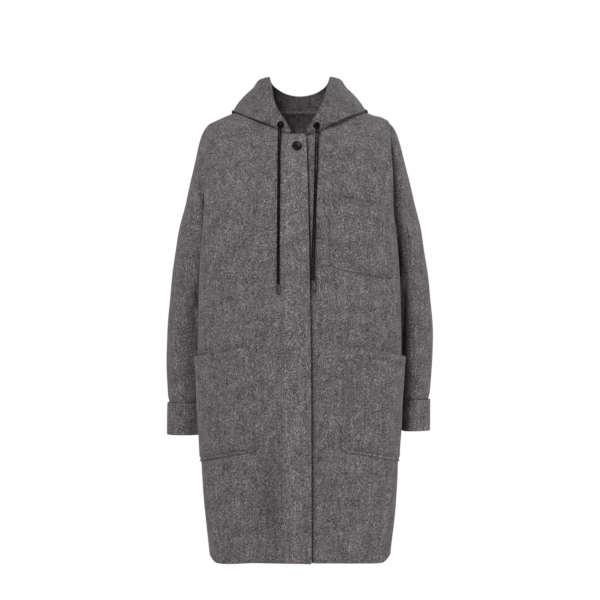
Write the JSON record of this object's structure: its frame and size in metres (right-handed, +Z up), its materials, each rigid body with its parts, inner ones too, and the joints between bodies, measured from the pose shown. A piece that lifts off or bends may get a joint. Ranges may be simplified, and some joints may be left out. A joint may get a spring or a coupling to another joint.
{
  "type": "hooded wool coat",
  "caption": "Long oversized hooded wool coat in its worn shape, hollow and open at neck, hem and cuffs, with a fly front, patch pockets, cuff bands and a hanging drawstring.",
  "frame": {"origin": "middle of the neck base, level with the shoulder line, where the wearer's shoulders carry the coat", "axes": "+Z up, -Y the front of the coat, +X the wearer's left"},
  "size_m": [0.5554, 0.3121, 1.0066],
  "materials": {
    "wool": "felted grey melange wool, matt",
    "leather": "black round cord, satin",
    "horn": "black, polished rim",
    "gunmetal": "dark grey metal, satin"
  },
  "bodies": {
    "root": {"front_left": "wool", "front_right": "wool", "placket": "wool", "back": "wool", "sleeve_left": "wool", "sleeve_right": "wool", "cuff_left": "wool", "cuff_right": "wool", "hood_left": "wool", "hood_right": "wool", "pocket_left": "wool", "pocket_right": "wool", "chest_pocket": "wool", "button": "horn", "eyelet_left": "gunmetal", "eyelet_right": "gunmetal", "cord_left_inner": "leather", "cord_left_outer": "leather", "cord_right_inner": "leather", "cord_right_outer": "leather", "tip_left": "gunmetal", "tip_right": "gunmetal"}
  },
  "joints": []
}
